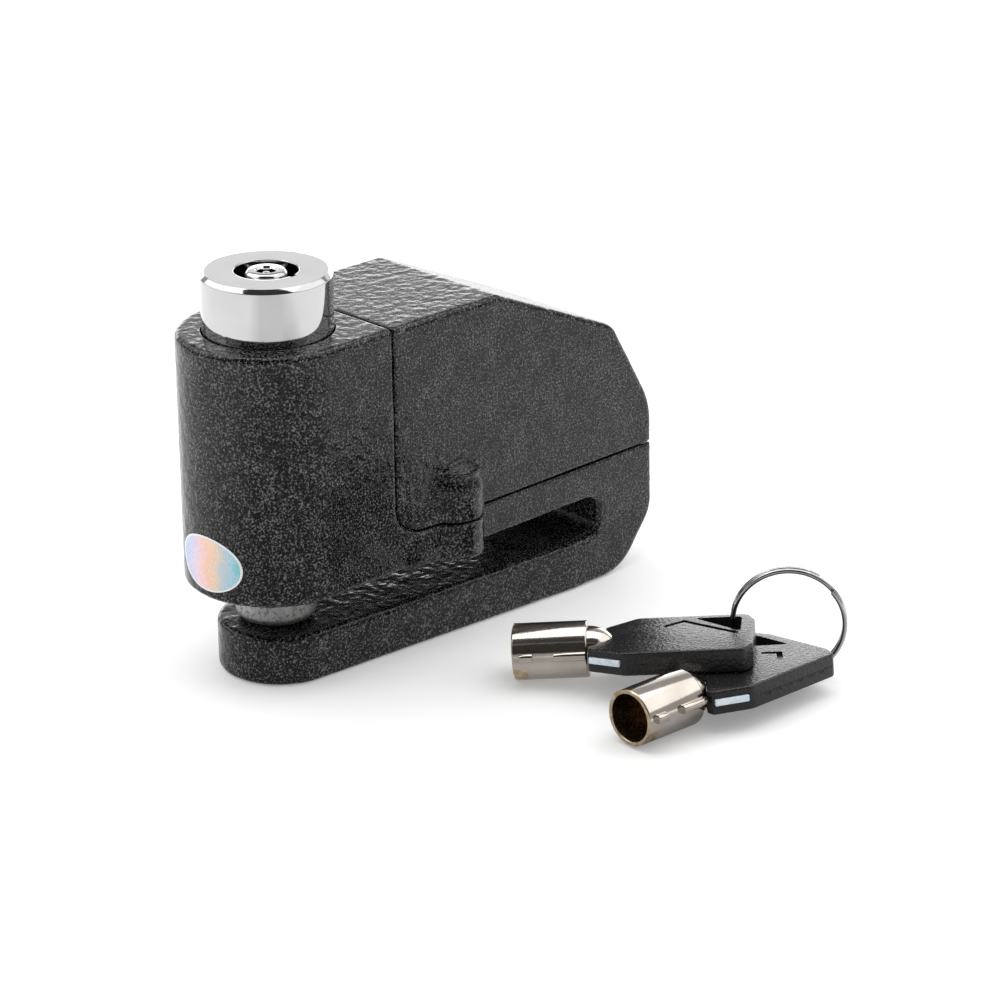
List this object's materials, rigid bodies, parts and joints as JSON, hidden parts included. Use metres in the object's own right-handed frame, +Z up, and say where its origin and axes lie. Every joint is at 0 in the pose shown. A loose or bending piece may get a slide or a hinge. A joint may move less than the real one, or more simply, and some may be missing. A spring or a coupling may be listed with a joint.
{
  "type": "disc brake lock",
  "caption": "Motorcycle disc brake lock with a built-in alarm, a sliding push-down lock cylinder, and tubular keys on a split ring.",
  "frame": {"origin": "on the locking pin's axis at the underside of the lower arm", "axes": "+X towards the rounded rear of the body, +Z up along the pin and the lock cylinder, the keys lie on the -Y side"},
  "size_m": [0.0942, 0.0956, 0.071],
  "materials": {
    "black_paint": "hammered powder coat",
    "chrome": "polished",
    "cast_metal": "plated rough casting",
    "brass": "turned",
    "spring_steel": "drawn wire",
    "zinc_screw": "zinc plated",
    "rubber": "matte",
    "tray_plastic": "moulded",
    "board_green": "solder mask",
    "component_black": "moulded",
    "cell_steel": "nickel plated",
    "sensor_metal": "drawn can",
    "plunger_white": "moulded",
    "foil": "holographic foil",
    "key_nickel": "nickel plate worn to brass at the edges",
    "key_plastic": "fine spark-eroded grain",
    "key_inlay": "smooth",
    "ring_steel": "polished wire"
  },
  "bodies": {
    "lock_body": {"body_casting": "black_paint", "alarm_cover": "black_paint", "cover_gasket": "rubber", "cover_screw_left": "zinc_screw", "cover_screw_right": "zinc_screw", "hologram_sticker": "foil", "cylinder_seal": "rubber", "travel_dowel": "zinc_screw", "return_spring": "spring_steel", "module_tray": "tray_plastic", "circuit_board": "board_green", "board_screw_1": "zinc_screw", "board_screw_2": "zinc_screw", "board_screw_3": "zinc_screw", "siren": "component_black", "controller_chip": "component_black", "vibration_sensor": "sensor_metal", "lock_switch": "component_black", "button_cell_1": "cell_steel", "button_cell_2": "cell_steel", "button_cell_3": "cell_steel", "button_cell_4": "cell_steel", "button_cell_5": "cell_steel", "button_cell_6": "cell_steel", "cell_contact_front": "brass", "cell_contact_rear": "brass"},
    "cylinder": {"lock_cylinder": "chrome", "locking_pin": "cast_metal", "tumbler_block": "brass"},
    "plug": {"lock_plug": "chrome", "latch_cam": "zinc_screw"},
    "latch": {"latch_dog": "zinc_screw"},
    "plunger": {"switch_plunger": "plunger_white"},
    "key_2": {"key_2_tube": "key_nickel", "key_2_head": "key_plastic", "key_2_inlay": "key_inlay"},
    "key_1": {"key_1_tube": "key_nickel", "key_1_head": "key_plastic", "key_1_inlay": "key_inlay"},
    "ring": {"split_ring": "ring_steel"},
    "key_pin_1": {"key_pin_1": "brass"},
    "key_pin_2": {"key_pin_2": "brass"},
    "key_pin_3": {"key_pin_3": "brass"},
    "key_pin_4": {"key_pin_4": "brass"},
    "key_pin_5": {"key_pin_5": "brass"},
    "key_pin_6": {"key_pin_6": "brass"},
    "key_pin_7": {"key_pin_7": "brass"}
  },
  "joints": [
    {"name": "cylinder_slide", "type": "slide", "parent": "lock_body", "child": "cylinder", "axis": [0, 0, 1], "range_m": [0, 0.012], "deforming": ["return_spring"]},
    {"name": "plug_turn", "type": "hinge", "parent": "cylinder", "child": "plug", "pos_m": [0, 0, 0.06], "axis": [0, 0, 1], "range_deg": [0, 90]},
    {"name": "latch_slide", "type": "slide", "parent": "cylinder", "child": "latch", "axis": [1, 0, 0], "range_m": [0, 0.00171]},
    {"name": "plunger_slide", "type": "slide", "parent": "lock_body", "child": "plunger", "axis": [1, 0, 0], "range_m": [0, 0.00171]},
    {"name": "key_pin_1_slide", "type": "slide", "parent": "plug", "child": "key_pin_1", "axis": [0, 0, 1], "range_m": [-0.0022, 0], "stiffness_N_per_m": 50, "springref_m": 0.0002},
    {"name": "key_pin_2_slide", "type": "slide", "parent": "plug", "child": "key_pin_2", "axis": [0, 0, 1], "range_m": [-0.0022, 0]},
    {"name": "key_pin_3_slide", "type": "slide", "parent": "plug", "child": "key_pin_3", "axis": [0, 0, 1], "range_m": [-0.0022, 0]},
    {"name": "key_pin_4_slide", "type": "slide", "parent": "plug", "child": "key_pin_4", "axis": [0, 0, 1], "range_m": [-0.0022, 0]},
    {"name": "key_pin_5_slide", "type": "slide", "parent": "plug", "child": "key_pin_5", "axis": [0, 0, 1], "range_m": [-0.0022, 0]},
    {"name": "key_pin_6_slide", "type": "slide", "parent": "plug", "child": "key_pin_6", "axis": [0, 0, 1], "range_m": [-0.0022, 0]},
    {"name": "key_pin_7_slide", "type": "slide", "parent": "plug", "child": "key_pin_7", "axis": [0, 0, 1], "range_m": [-0.0022, 0]},
    {"name": "key_set_lift", "type": "slide", "parent": "lock_body", "child": "key_2", "axis": [0, 0, 1], "range_m": [0, 0.04]},
    {"name": "key_1_swing", "type": "hinge", "parent": "key_2", "child": "key_1", "pos_m": [0.05008, -0.05484, 0.00725], "axis": [0.0347, 0.131, 0.9908], "range_deg": [0, 12]},
    {"name": "ring_spin", "type": "hinge", "parent": "key_2", "child": "ring", "pos_m": [0.058, -0.06555, 0.01], "axis": [-0.7683, -0.6401, 0], "range_deg": [-45, 45]}
  ],
  "couplings": [
    {"joint": "latch_slide", "follows": "plug_turn", "m_per_rad": 0.0010823},
    {"joint": "plunger_slide", "follows": "cylinder_slide", "ratio": 0.14167},
    {"joint": "key_pin_2_slide", "follows": "key_pin_1_slide", "ratio": 0.8},
    {"joint": "key_pin_3_slide", "follows": "key_pin_1_slide", "ratio": 0.6},
    {"joint": "key_pin_4_slide", "follows": "key_pin_1_slide", "ratio": 0.9},
    {"joint": "key_pin_5_slide", "follows": "key_pin_1_slide", "ratio": 0.5},
    {"joint": "key_pin_6_slide", "follows": "key_pin_1_slide", "ratio": 1},
    {"joint": "key_pin_7_slide", "follows": "key_pin_1_slide", "ratio": 0.7}
  ]
}
